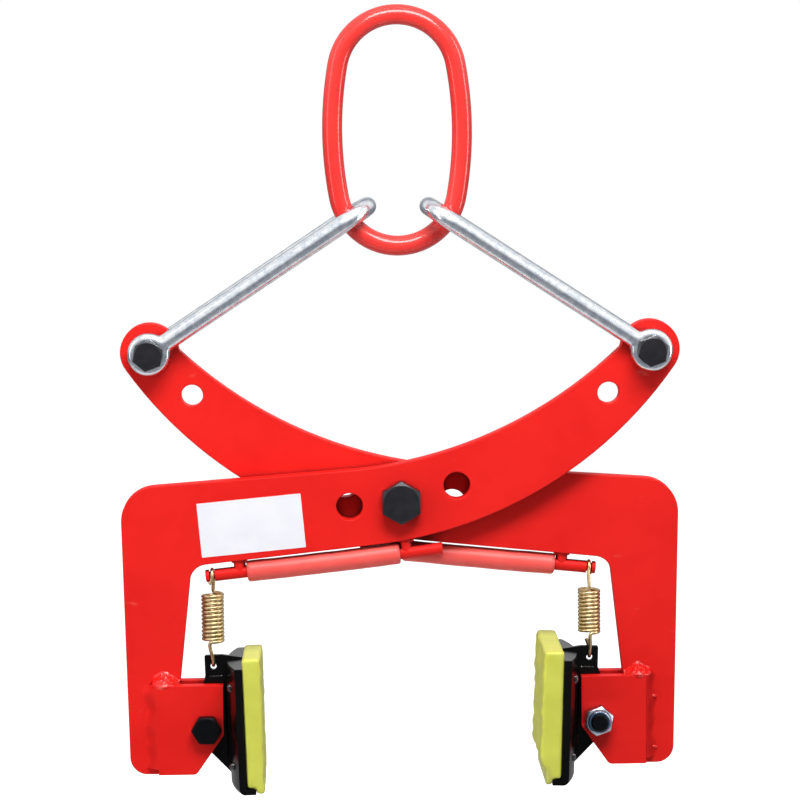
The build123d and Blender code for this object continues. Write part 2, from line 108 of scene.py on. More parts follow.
def add_node(tree: NodeTree, kind: str, sockets: dict | None = None, **settings) -> Node:
    """Add one shader node to a tree, with its settings and links.

    Args:
        tree: Node tree of a material or the world.
        kind: Type of the node, without the word ShaderNode.
        sockets: Value, output or node (for its first output in use) for each input's name or number.
        **settings: Properties of the node itself.

    Returns:
        The new node.
    """
    made = tree.nodes.new(f"ShaderNode{kind}")
    for name, value in settings.items():
        setattr(made, name, value)
    for key, value in (sockets or {}).items():
        if isinstance(value, Node):
            value = next(output for output in value.outputs if output.enabled)
        if isinstance(value, NodeSocket):
            tree.links.new(value, made.inputs[key])
        else:
            made.inputs[key].default_value = value
    return made


def new_material(name: str) -> tuple[Material, NodeTree]:
    """Start an empty node material.

    Args:
        name: Name of the finish.

    Returns:
        The material and its node tree.
    """
    made = bpy.data.materials.new(name)
    made.use_nodes = True
    made.node_tree.nodes.clear()
    return made, made.node_tree


def drift(pattern: Node | NodeSocket, levels: Pair, *colours: str | Node) -> Node:
    """Run one colour into another by a pattern.

    Args:
        pattern: Pattern that the colours follow.
        levels: Level where the first colour starts to give way, and level where the second is pure.
        *colours: The two colours, each a code or a node that gives it.

    Returns:
        Node that gives the colour.
    """
    tree = pattern.id_data
    share = add_node(tree, "MapRange", {"Value": pattern, "From Min": levels[0], "From Max": levels[1]})
    first, second = (linear(colour) if isinstance(colour, str) else colour for colour in colours)
    return add_node(tree, "Mix", {0: share, 6: first, 7: second}, data_type="RGBA")


@dataclass(frozen=True)
class Finish:
    """What every finish has: two colours that drift into each other in clouds, and a finely grained skin."""

    name: str
    colour: str
    shade: str
    roughness: float
    _: KW_ONLY
    cloud_mm: float = 22.0
    cloud_detail: float = 3.0
    cloud_roughness: float = 0.5
    cloud_levels: Pair = (0.35, 0.65)
    grain_mm: float = 0.9
    grain_detail: float = 3.0
    grain_height_mm: float = 0.03
    grain_strength: float = 0.6
    sheen: Pair = (-0.06, 0.08)
    cloudy_sheen: bool = False

    def material(self) -> Material:
        """Build the node material.

        Returns:
            The new material.
        """
        made, tree = new_material(self.name)
        place = add_node(tree, "TexCoord").outputs["Object"]
        clouds = add_node(tree, "TexNoise", {
            "Vector": place, "Scale": 1 / (self.cloud_mm * MM), "Detail": self.cloud_detail,
            "Roughness": self.cloud_roughness})
        grain = add_node(tree, "TexNoise", {
            "Vector": self.lay(place), "Scale": 1 / (self.grain_mm * MM), "Detail": self.grain_detail})
        low, high = (self.roughness + change for change in self.sheen)
        gloss = add_node(tree, "MapRange", {
            "Value": clouds if self.cloudy_sheen else grain, "To Min": low, "To Max": high})
        bump = add_node(tree, "Bump", {
            "Height": grain, "Distance": self.grain_height_mm * MM, "Strength": self.grain_strength})
        colour = self.wear(place, drift(clouds, self.cloud_levels, self.colour, self.shade))
        shader = add_node(tree, "BsdfPrincipled", {
            "Base Color": colour, "Roughness": gloss, "Normal": bump, **self.optics()})
        add_node(tree, "OutputMaterial", {"Surface": shader})
        return made

    def lay(self, place: NodeSocket) -> Node | NodeSocket:
        """Give the coordinates that the grain follows."""
        return place

    def wear(self, place: NodeSocket, colour: Node) -> Node:
        """Give the colour with its wear, and with painted shade where a finish adds it."""
        return colour

    def optics(self) -> dict:
        """Give the surface shader's other inputs."""
        return {}


@dataclass(frozen=True)
class PaintCoat(Finish):
    """Paint on steel plate: slow drifts of colour and gloss, a fine orange peel and rubbed marks.

    The rubbed marks are short smears where other steel has polished the paint paler. Painted shade, from
    ambient occlusion, darkens the paint in bores and tight gaps, as far out as its reach.
    """

    rubbed: str
    coat: float
    _: KW_ONLY
    specular: float = 0.5
    cloud_mm: float = 70.0
    cloud_roughness: float = 0.6
    cloud_levels: Pair = (0.38, 0.66)
    grain_mm: float = 2.2
    grain_detail: float = 1.5
    grain_height_mm: float = 0.02
    grain_strength: float = 0.8
    sheen: Pair = (-0.05, 0.07)
    cloudy_sheen: bool = True
    smear_mm: float = 9.0
    smear_detail: float = 4.0
    smear_stretch: float = 0.35
    smear_level: float = 0.7
    smear_fade: float = 0.09
    # Painted shade: within this reach, ambient occlusion darkens the paint towards this colour in bores and
    # gaps.
    painted_shade_reach_mm: float = 0.0
    painted_shade_colour: str = "#2c0302"
    painted_shade_levels: Pair = (0.25, 0.6)

    def wear(self, place: NodeSocket, colour: Node) -> Node:
        """Add rubbed marks, and painted shade in bores and tight gaps, to the colour.

        Args:
            place: The object's own coordinates.
            colour: Colour of the clean paint.

        Returns:
            Colour of the worn paint, darkened by painted shade where it is set.
        """
        tree = place.id_data
        along = add_node(tree, "Mapping", {"Vector": place, "Scale": (self.smear_stretch, 1.0, 1.0)})
        smears = add_node(tree, "TexNoise", {
            "Vector": along, "Scale": 1 / (self.smear_mm * MM), "Detail": self.smear_detail})
        worn = drift(smears, (self.smear_level, self.smear_level + self.smear_fade), colour, self.rubbed)
        if not self.painted_shade_reach_mm:
            return worn
        # Painted shade: ambient occlusion darkens the paint in bores and tight gaps.
        corner = add_node(tree, "AmbientOcclusion", {"Distance": self.painted_shade_reach_mm * MM}, samples=12)
        return drift(corner.outputs["AO"], self.painted_shade_levels, self.painted_shade_colour, worn)

    def optics(self) -> dict:
        """Give the surface shader's other inputs."""
        return {"IOR": 1.5, "Specular IOR Level": self.specular, "Coat Weight": self.coat,
                "Coat Roughness": 0.1}


@dataclass(frozen=True)
class PlatedSteel(Finish):
    """Steel with a metal or oxide skin: its grain is drawn out to streaks along the bar."""

    _: KW_ONLY
    metallic: float = 1.0
    specular: float = 0.5
    lay_deg: float = 0.0
    streak_length: float = 1.0
    cloud_mm: float = 9.0
    grain_mm: float = 1.6
    grain_height_mm: float = 0.008
    grain_strength: float = 0.7
    sheen: Pair = (-0.08, 0.1)

    def lay(self, place: NodeSocket) -> Node | NodeSocket:
        """Turn the grain to the bar and draw it out.

        Args:
            place: The object's own coordinates.

        Returns:
            Coordinates of the streaks.
        """
        tree = place.id_data
        along = add_node(tree, "Mapping", {
            "Vector": place, "Rotation": (0.0, math.radians(self.lay_deg), 0.0)}, vector_type="TEXTURE")
        return add_node(tree, "Mapping", {"Vector": along, "Scale": (1 / self.streak_length, 1.0, 1.0)})

    def optics(self) -> dict:
        """Give the surface shader's other inputs."""
        return {"Metallic": self.metallic, "Specular IOR Level": self.specular}


@dataclass(frozen=True)
class Elastomer(Finish):
    """Cast or extruded soft plastic: light goes a little way in, and the skin has a dull fine grain."""

    depth_mm: float
    glow: float
    _: KW_ONLY
    cloud_detail: float = 4.0
    cloud_levels: Pair = (0.35, 0.68)
    glow_reach: Triple = (1.0, 0.9, 0.4)

    def optics(self) -> dict:
        """Give the surface shader's other inputs."""
        return {"IOR": 1.49, "Subsurface Weight": self.glow, "Subsurface Radius": self.glow_reach,
                "Subsurface Scale": self.depth_mm * MM}


# Enamel on the forged link: a hard bright gloss with hardly any peel.
LINK_ENAMEL = PaintCoat("link_gloss_enamel", "#ea3832", "#e4312b", 0.15, "#ee5c53", 0.0,
                        grain_height_mm=0.006, smear_level=0.78)
# Powder coat on the plates: satin, slightly pebbled, rubbed paler in places,
# with painted shade in its bores and tight gaps.
ARM_POWDER = PaintCoat("red_powder_coat", "#ec1f19", "#e21813", 0.54, "#ee463e", 0.0, specular=0.2,
                       painted_shade_reach_mm=16.0)
# The same coat where it ran thick over a weld: wetter, so its lumps catch the lamps.
WELD_POWDER = PaintCoat("red_powder_coat_on_weld", "#ea1d17", "#dc1611", 0.2, "#f0625a", 0.3, specular=0.35)
# The same coat over a ground seam: dull, and a shade darker than the plates:
# painted shade for the seam's shadowed valley.
SHADED_SEAM_POWDER = PaintCoat("red_powder_coat_shaded_seam", "#de1a15", "#d21511", 0.6, "#e4322b", 0.0, specular=0.1)
# Thick brushed black paint on the holders: wet-looking, so it mirrors what stands beside it.
HOLDER_PAINT = PaintCoat("black_gloss_paint", "#0a0a0a", "#0d0d0d", 0.22, "#2c2c2c", 0.0, specular=0.1,
                         grain_mm=5.0, grain_height_mm=0.15, smear_level=0.78)
# The same black where it pooled on the welds: thicker, so each lump has a hard glint.
HOLDER_WELD_PAINT = PaintCoat("black_gloss_paint_on_weld", "#0a0a0a", "#0f0f0f", 0.1, "#2c2c2c", 0.6,
                              specular=0.8, smear_level=0.78)
# Bright zinc on the shackles: white metal whose drawing lines break up the edge of each reflection.
DRAWN_BAR = {"grain_mm": 2.4, "streak_length": 5.0, "grain_height_mm": 0.045, "cloud_mm": 5.0}
LEFT_ZINC = PlatedSteel("bright_zinc_left", "#eceff2", "#ccd3dc", 0.22, lay_deg=33.0, **DRAWN_BAR)
RIGHT_ZINC = PlatedSteel("bright_zinc_right", "#eceff2", "#ccd3dc", 0.22, lay_deg=-33.0, **DRAWN_BAR)
# Passivated zinc on the nuts: cooler than the shackles and without their lines.
NUT_ZINC = PlatedSteel("blue_zinc", "#b9c2cd", "#97a3b4", 0.24)
# Chromated zinc on the spring wire: brass-coloured, with small browner clouds.
SPRING_ZINC = PlatedSteel("yellow_zinc", "#d8c498", "#b89f74", 0.36, cloud_mm=4.0, grain_height_mm=0.0015)
# Black oxide on the bolts: a dark skin with a soft oily sheen.
BOLT_OXIDE = PlatedSteel("black_oxide", "#26252b", "#1b1b20", 0.33, metallic=0.2, specular=0.35)
# Oiled black oxide on the jaw bolts: nearly black, with less sheen.
JAW_OXIDE = PlatedSteel("oiled_black_oxide", "#08080b", "#0b0c0f", 0.4, metallic=0.0, specular=0.08)
# Cast polyurethane pads: yellow-green and waxy.
PAD_URETHANE = Elastomer("polyurethane", "#dadd5c", "#ced151", 0.42, 4.0, 0.35)
# Rubber sleeves: dull salmon, dusty on the skin.
SLEEVE_RUBBER = Elastomer("salmon_rubber", "#ff625a", "#f8564f", 0.42, 1.5, 0.1, cloud_mm=30.0)
# Nylon ring in each lock nut: smooth and bluish.
RING_NYLON = Elastomer("nylon", "#39557c", "#2c4467", 0.35, 1.0, 0.1)
# Blank film on the arm: white vinyl, smoother than the paint round it.
LABEL_VINYL = Elastomer("white_vinyl", "#f3f3f9", "#ededf4", 0.32, 0.3, 0.05)


@cache
def material_of(finish: Finish) -> Material:
    """Give the material of a finish, which is built once."""
    return finish.material()


def dress(piece: Object, finish: Finish) -> None:
    """Give a piece its finish.

    Args:
        piece: A new piece or a CAD node.
        finish: Its finish.
    """
    piece.data.materials.clear()
    piece.data.materials.append(material_of(finish))
    LOG.info("%s wears %s", piece.name, finish.name)


def dress_nodes(finish: Finish, *names: str) -> None:
    """Give CAD nodes a finish."""
    for name in names:
        dress(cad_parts[name], finish)


def activate(piece: Object) -> None:
    """Make one object the only selected and active one.

    Args:
        piece: The object.
    """
    bpy.ops.object.select_all(action="DESELECT")
    piece.select_set(True)
    bpy.context.view_layer.objects.active = piece


def begin(add: Callable, scale: Triple = (1.0, 1.0, 1.0), **settings) -> Object:
    """Start a new piece from a primitive, with its scale and place put into its mesh.

    Args:
        add: Operator that adds the primitive.
        scale: Scale along each axis.
        **settings: The operator's own settings.

    Returns:
        The new object, the only selected one.
    """
    bpy.ops.object.select_all(action="DESELECT")
    add(**settings)
    piece = bpy.context.object
    piece.scale = scale
    bpy.ops.object.transform_apply(location=True, rotation=True, scale=True)
    return piece


@contextmanager
def all_selected() -> Iterator[None]:
    """Hold edit mode on the active object, at first with all of it selected.

    Yields:
        Nothing; the mode lasts to the end of the block.
    """
    bpy.ops.object.mode_set(mode="EDIT")
    bpy.ops.mesh.select_all(action="SELECT")
    yield
    bpy.ops.object.mode_set(mode="OBJECT")


def pick_upright_edges(piece: Object, least: float) -> None:
    """Enter edit mode with only those edges selected that rise by more than a length.

    Args:
        piece: Mesh object to edit.
        least: The length.
    """
    activate(piece)
    bpy.context.tool_settings.mesh_select_mode = (False, True, False)
    mesh = piece.data
    ends = [[mesh.vertices[index].co.z for index in edge.vertices] for edge in mesh.edges]
    mesh.vertices.foreach_set("select", [False] * len(mesh.vertices))
    mesh.polygons.foreach_set("select", [False] * len(mesh.polygons))
    mesh.edges.foreach_set("select", [abs(top - foot) > least for top, foot in ends])
    bpy.ops.object.mode_set(mode="EDIT")


def apply_modifier(piece: Object, kind: str, **settings) -> None:
    """Add a modifier to a piece and apply it.

    Args:
        piece: Object to change.
        kind: Type of the modifier.
        **settings: The modifier's own settings.
    """
    activate(piece)
    modifier = piece.modifiers.new(kind.lower(), kind)
    for name, value in settings.items():
        setattr(modifier, name, value)
    bpy.ops.object.modifier_apply(modifier=modifier.name)


def round_edges(piece: Object, width: float, sharp_deg: float = 50.0) -> None:
    """Round a piece's edges where they are sharper than an angle."""
    limit = math.radians(sharp_deg)
    apply_modifier(piece, "BEVEL", width=width, segments=3, limit_method="ANGLE", angle_limit=limit)


def settle(piece: Object, name: str, smooth_deg: float = 40.0) -> Object:
    """Close a modelled piece: place into the mesh, doubles merged, faces outwards, shading smooth.

    Args:
        piece: The modelled object.
        name: Its name from now on.
        smooth_deg: Edges sharper than this stay sharp.

    Returns:
        The same object.
    """
    activate(piece)
    bpy.ops.object.transform_apply(location=True, rotation=True, scale=True)
    with all_selected():
        bpy.ops.mesh.remove_doubles(threshold=0.002 * MM)
        bpy.ops.mesh.normals_make_consistent(inside=False)
    bpy.ops.object.shade_smooth_by_angle(angle=math.radians(smooth_deg))
    piece.name = name
    piece.data.name = name
    return piece


def wire(name: str, points: list[Vector], radii: list[float], sides: int = 10) -> Object:
    """Make a round tube of changing radius along points.

    Args:
        name: Name of the piece.
        points: Middle line of the tube.
        radii: Radius at each point.
        sides: Sides of the tube's round.

    Returns:
        The tube as a mesh object.
    """
    curve = bpy.data.curves.new(name, "CURVE")
    curve.dimensions = "3D"
    curve.bevel_depth = 1.0
    curve.bevel_resolution = sides // 2 - 2
    curve.use_fill_caps = True
    spline = curve.splines.new("POLY")
    spline.points.add(len(points) - 1)
    for spot, point, radius in zip(spline.points, points, radii):
        spot.co = (*point, 1.0)
        spot.radius = radius
    piece = bpy.data.objects.new(name, curve)
    bpy.context.scene.collection.objects.link(piece)
    activate(piece)
    bpy.ops.object.convert(target="MESH")
    return settle(bpy.context.object, name, smooth_deg=50.0)


@dataclass
class WeldRun:
    """One run of weld in a corner: a rounded rope with the ripples of its pool and a fuller end."""

    name: str
    start: Vector
    end: Vector
    radius: float
    ripple: float = 2.0 * MM
    swell: float = 0.1
    wander: float = 0.12
    samples_per_ripple: int = 6
    least_samples: int = 8
    lump_ripples: float = 3.0
    wander_ripples: float = 4.0
    lump_seed: float = 300.0
    wander_seed: float = 500.0
    least_cap: float = 0.02

    def build(self) -> Object:
        """Build the bead along its wandering middle line.

        Returns:
            The bead as a mesh object.
        """
        length = (self.end - self.start).length
        count = max(self.least_samples, round(self.samples_per_ripple * length / self.ripple))
        points = []
        radii = []
        for index in range(count + 1):
            share = index / count
            along = share * length
            lump_spot = Vector((along / (self.lump_ripples * self.ripple), 0, 0))
            lump = noise.noise(self.start * self.lump_seed + lump_spot)
            pool = (along / self.ripple) % 1.0
            reach = min(along, length - along) / self.radius
            cap = math.sqrt(max(self.least_cap, 1 - (1 - min(1.0, reach)) ** 2))
            wander_spot = Vector((along / (self.wander_ripples * self.ripple), 0, 0))
            offset = noise.noise_vector(self.start * self.wander_seed + wander_spot)
            points.append(self.start.lerp(self.end, share) + offset * self.radius * self.wander)
            radii.append(self.radius * cap * (1 + self.swell * (pool - 0.5) + self.wander * lump))
        return wire(self.name, points, radii)


@dataclass
class WeldFillet:
    """Weld that fills the step from a plate's edge to the face under it: a ramp, lumpy or ground smooth."""

    name: str
    rims: list[Vector]
    toes: list[Vector]
    lump: float
    lump_size: float = 5.0 * MM
    lump_octaves: tuple[Pair, ...] = ((1.0, 1.0), (0.6, 2.1), (0.3, 4.3))
    sink: float = 0.4 * MM
    across: int = 14

    def build(self) -> Object:
        """Build the ramp, its underside sunk a little into the face.

        Returns:
            The ramp as a closed mesh object.
        """
        rows = len(self.rims) - 1
        piece = begin(bpy.ops.mesh.primitive_grid_add, size=1.0, x_subdivisions=rows,
                      y_subdivisions=self.across)
        spots = [(round((vertex.co.x + 0.5) * rows), vertex.co.y + 0.5) for vertex in piece.data.vertices]
        with all_selected():
            bpy.ops.mesh.extrude_region_move()
        count = len(spots)
        for index, vertex in enumerate(piece.data.vertices):
            row, share = spots[index % count]
            vertex.co = self.spot(row, share, index >= count)
        return settle(piece, self.name, smooth_deg=60.0)

    def spot(self, row: int, share: float, on_skin: bool) -> Vector:
        """Find a place of the underside or of the skin, which leaves the rim and meets the toe softly.

        Args:
            row: Row along the weld.
            share: Share of the way from the rim to the toe.
            on_skin: Whether it is on the skin.

        Returns:
            The point.
        """
        rim, toe = self.rims[row], self.toes[row]
        step = toe.y - rim.y
        point = rim.lerp(toe, share)
        if not on_skin:
            return Vector((point.x, toe.y + math.copysign(self.sink, step), point.z))
        fall = share * share * (3 - 2 * share)
        grain = point / self.lump_size
        lump = sum(part * noise.noise(grain * pace) for part, pace in self.lump_octaves)
        rise = self.lump * lump * math.sin(math.pi * share)
        return Vector((point.x, rim.y + step * fall - math.copysign(rise, step), point.z))


def node_centre(name: str) -> Vector:
    """Give the middle of a CAD node's box at rest."""
    low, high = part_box(name)
    return (low + high) / 2


@dataclass
class Hanger:
    """Master link, the two forged shackles and their bolts."""

    voxel: float = 0.8 * MM
    smoothing: int = 50
    swell: float = 0.55 * MM

    def build(self) -> None:
        """Round the shackles' necks over and dress all of the hanger."""
        dress_nodes(LINK_ENAMEL, "master_link")
        for side, zinc in ((Side.LEFT, LEFT_ZINC), (Side.RIGHT, RIGHT_ZINC)):
            dress(self.forge(side), zinc)
            dress_nodes(BOLT_OXIDE, side.node("shackle_bolt"))
            dress_nodes(NUT_ZINC, side.node("shackle_nut"))

    def forge(self, side: Side) -> Object:
        """Make a shackle whose rods flow into the eyes as in a forging.

        Args:
            side: Which shackle.

        Returns:
            The new shackle.
        """
        source = side.node("shackle")
        piece = bpy.data.objects.new(f"{source}_forging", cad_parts[source].data.copy())
        bpy.context.scene.collection.objects.link(piece)
        activate(piece)
        bpy.ops.mesh.customdata_custom_splitnormals_clear()
        settle(piece, piece.name)
        apply_modifier(piece, "REMESH", mode="VOXEL", voxel_size=self.voxel)
        apply_modifier(piece, "DISPLACE", strength=self.swell, mid_level=0.0)
        apply_modifier(piece, "SMOOTH", factor=0.5, iterations=self.smoothing)
        activate(piece)
        bpy.ops.object.shade_smooth()
        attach(piece, side.node("shackle"))
        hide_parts(source)
        return piece


@dataclass
class Arm:
    """One arm plate with its fork of cheeks, its posts and the painted welds that join them."""

    side: Side
    row_step: float = 0.8 * MM
    rim_inset: float = 0.5 * MM
    seam_span: float = 0.94
    seam_wave: float = 0.35
    seam_wave_pace: float = 80.0
    seam_lump: float = 0.5 * MM
    edge_search: float = 55.0 * MM
    edge_margin: float = 1.4 * MM
    top_weld_h: float = 9.5 * MM
    top_weld_proud: float = 0.7 * MM
    top_weld_wrap: float = 5.0 * MM
    top_weld_end: float = 0.03
    top_wave_paces: Pair = (150.0, 90.0)
    top_rim_mm: Pair = (0.6, 0.8)
    top_toe: Pair = (0.85, 0.4)
    top_toe_lift: float = 0.8 * MM
    top_lump: float = 2.4 * MM
    top_lump_size: float = 3.2 * MM
    spatter_r: float = 1.5 * MM
    spatter_wander: float = 0.4
    spatter_out: float = 5.0 * MM
    spatter_run: Triple = (4.5 * MM, 0.7 * MM, -1.5 * MM)
    spatter_drops: Pair = (18.0 * MM, 59.5 * MM)
    post_weld_r: float = 1.6 * MM
    post_weld_inset: float = 1.5 * MM

    @property
    def seam(self) -> tuple[float, PaintCoat]:
        """Width and paint of the weld behind each cheek; the left is ground flatter, and the right's darker
        paint is painted shade.
        """
        return self.side.pick((11.0 * MM, ARM_POWDER), (8.0 * MM, SHADED_SEAM_POWDER))

    def build(self) -> None:
        """Dress the plates and lay the welds."""
        side = self.side
        plates = ("front_cheek", "rear_cheek", "outer_post", "inner_post", "bumper_rod")
        dress_nodes(ARM_POWDER, side.arm, *map(side.node, plates))
        dress_nodes(JAW_OXIDE, side.node("jaw_bolt"))
        dress_nodes(NUT_ZINC, side.node("jaw_nut"))
        for cheek in ("front_cheek", "rear_cheek"):
            self.lay(self.side_weld_run(cheek), self.seam[1])
            self.lay(self.top_weld(cheek), WELD_POWDER)
        for weld in [*self.post_welds(), *self.spatter()]:
            self.lay(weld, WELD_POWDER)

    def lay(self, weld: WeldFillet | WeldRun, finish: PaintCoat) -> None:
        """Build one weld on the arm and paint it.

        Args:
            weld: The weld to build.
            finish: Its paint.
        """
        piece = weld.build()
        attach(piece, self.side.arm)
        dress(piece, finish)

    def step(self, cheek: str) -> tuple[Vector, Vector, float, float, float]:
        """Give the step from a cheek down to the leg.

        Args:
            cheek: Which cheek of the fork.

        Returns:
            The cheek's low and high corners, x of its back edge, y of its outer face and of the leg's.
        """
        low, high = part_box(self.side.node(cheek))
        plate_low, plate_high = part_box(self.side.arm)
        edge_x = self.side.pick(low.x, high.x)
        if low.y < plate_low.y:
            return low, high, edge_x, low.y, plate_low.y
        return low, high, edge_x, high.y, plate_high.y

    def side_weld_run(self, cheek: str) -> WeldFillet:
        """Give the ground weld in the corner between a cheek's back edge and the leg.

        Args:
            cheek: Which cheek of the fork.

        Returns:
            The weld.
        """
        low, high, edge_x, face_y, leg_y = self.step(cheek)
        sign = self.side.sign
        length = (high.z - low.z) * self.seam_span
        rows = round(length / self.row_step)
        rims, toes = [], []
        for row in range(rows + 1):
            z = high.z - length * row / rows
            wave = self.seam_wave * noise.noise(Vector((0, sign, self.seam_wave_pace * z)))
            rims.append(Vector((edge_x + sign * self.rim_inset, face_y, z)))
            toes.append(Vector((edge_x - sign * (self.seam[0] * (1 + wave)), leg_y, z)))
        return WeldFillet(f"{self.side.node(cheek)}_side_weld", rims, toes, self.seam_lump)

    def top_weld(self, cheek: str) -> WeldFillet:
        """Give the lumpy weld along a cheek's top edge, from its back edge to the leg's inner edge.

        Args:
            cheek: Which cheek of the fork.

        Returns:
            The weld.
        """
        _, high, edge_x, face_y, leg_y = self.step(cheek)
        sign = self.side.sign
        plate_y = sum(corner.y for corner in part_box(self.side.arm)) / 2
        inside = Vector((edge_x + sign * self.edge_search, plate_y, high.z + self.top_weld_h))
        met, leg_edge, _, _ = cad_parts[self.side.arm].ray_cast(inside, Vector((-sign, 0, 0)))
        if not met:
            raise ValueError(f"no edge of {self.side.arm} from {inside}")
        end_x = leg_edge.x - sign * self.edge_margin
        start_x = edge_x - sign * self.top_weld_wrap
        rows = round(abs(end_x - start_x) / self.row_step)
        rims, toes = [], []
        for row in range(rows + 1):
            share = row / rows
            x = start_x + (end_x - start_x) * share
            body = math.sqrt(math.sin(math.pi * min(1 - self.top_weld_end, self.top_weld_end + share)))
            wave = noise.noise(Vector((self.top_wave_paces[0] * x, face_y * self.top_wave_paces[1], sign)))
            front = leg_y + (face_y - leg_y) * body
            front += math.copysign(self.top_weld_proud * body, face_y - leg_y)
            overlap = (self.top_rim_mm[0] + self.top_rim_mm[1] * wave) * MM * body
            rims.append(Vector((x, front, high.z - overlap - self.rim_inset)))
            rise = self.top_weld_h * body * (self.top_toe[0] + self.top_toe[1] * wave)
            toes.append(Vector((x, leg_y, high.z + rise + self.top_toe_lift)))
        return WeldFillet(f"{self.side.node(cheek)}_top_weld", rims, toes, self.top_lump, self.top_lump_size)

    def spatter(self) -> list[WeldRun]:
        """Plan the two lumps left on the right jaw's front seam; the left seam is ground clean.

        Returns:
            The lumps as short runs.
        """
        if self.side is Side.LEFT:
            return []
        _, high, _, _, leg_y = self.step("front_cheek")
        runs = []
        for name, drop in zip("ab", self.spatter_drops):
            start = Vector((high.x + self.spatter_out, leg_y - self.spatter_r, high.z - drop))
            end = start + Vector(self.spatter_run)
            runs.append(WeldRun(f"right_seam_lump_{name}", start, end, self.spatter_r,
                                wander=self.spatter_wander))
        return runs

    def post_welds(self) -> list[WeldRun]:
        """Plan the welds where each post meets the arm's lower edge.

        Returns:
            The short runs.
        """
        runs = []
        inset = self.post_weld_inset
        for post in ("outer_post", "inner_post"):
            low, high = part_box(self.side.node(post))
            for name, x in (("a", low.x), ("b", high.x)):
                start = Vector((x, low.y + inset, high.z - inset))
                end = Vector((x, high.y - inset, high.z - inset))
                runs.append(WeldRun(f"{self.side.node(post)}_weld_{name}", start, end, self.post_weld_r))
        return runs


@dataclass
class Sleeve:
    """Soft tube on a bumper rod: a little bowed and uneven, with its cut ends open."""

    side: Side
    diameter: float = 17.0 * MM
    wall: float = 3.3 * MM
    end_round: float = 2.6 * MM
    end_draw: float = 1.5 * MM
    end_bevel: float = 0.5 * MM
    slope_deg: float = 6.0
    bow: float = 0.5 * MM
    unevenness: float = 0.25 * MM
    dent_pace: float = 60.0
    rings: int = 160
    round_sides: int = 48

    def build(self) -> None:
        """Model the tube on the rod and dress it."""
        node = self.side.node("bumper_sleeve")
        low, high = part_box(node)
        slope = math.radians(self.slope_deg)
        length = (high.x - low.x - self.diameter * math.sin(slope)) / math.cos(slope)
        piece = begin(bpy.ops.mesh.primitive_cylinder_add, vertices=self.round_sides,
                      radius=self.diameter / 2, depth=length, end_fill_type="NOTHING")
        pick_upright_edges(piece, length / 2)
        bpy.ops.mesh.subdivide(number_cuts=self.rings)
        bpy.ops.object.mode_set(mode="OBJECT")
        for vertex in piece.data.vertices:
            self.soften(vertex, length)
        apply_modifier(piece, "SOLIDIFY", thickness=self.wall, offset=-1.0)
        round_edges(piece, self.end_bevel)
        piece.rotation_euler = (0.0, math.pi / 2 - self.side.sign * slope, 0.0)
        piece.location = (low + high) / 2
        settle(piece, f"{node}_tube")
        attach(piece, self.side.arm)
        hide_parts(node)
        dress(piece, SLEEVE_RUBBER)

    def soften(self, vertex: MeshVertex, length: float) -> None:
        """Move one point of the tube off the perfect cylinder.

        Args:
            vertex: Point of the tube, which still stands along Z.
            length: Length of the tube.
        """
        share = 2 * vertex.co.z / length
        out = Vector((vertex.co.x, vertex.co.y, 0)).normalized()
        dent = noise.noise(Vector((self.side.sign, 0, 0)) + vertex.co * self.dent_pace)
        past = max(0.0, 1 - (length / 2 - abs(vertex.co.z)) / self.end_round)
        vertex.co += out * (dent * self.unevenness - self.end_draw * (1 - math.sqrt(1 - past ** 2)))
        vertex.co.x += self.bow * (1 - share ** 2)


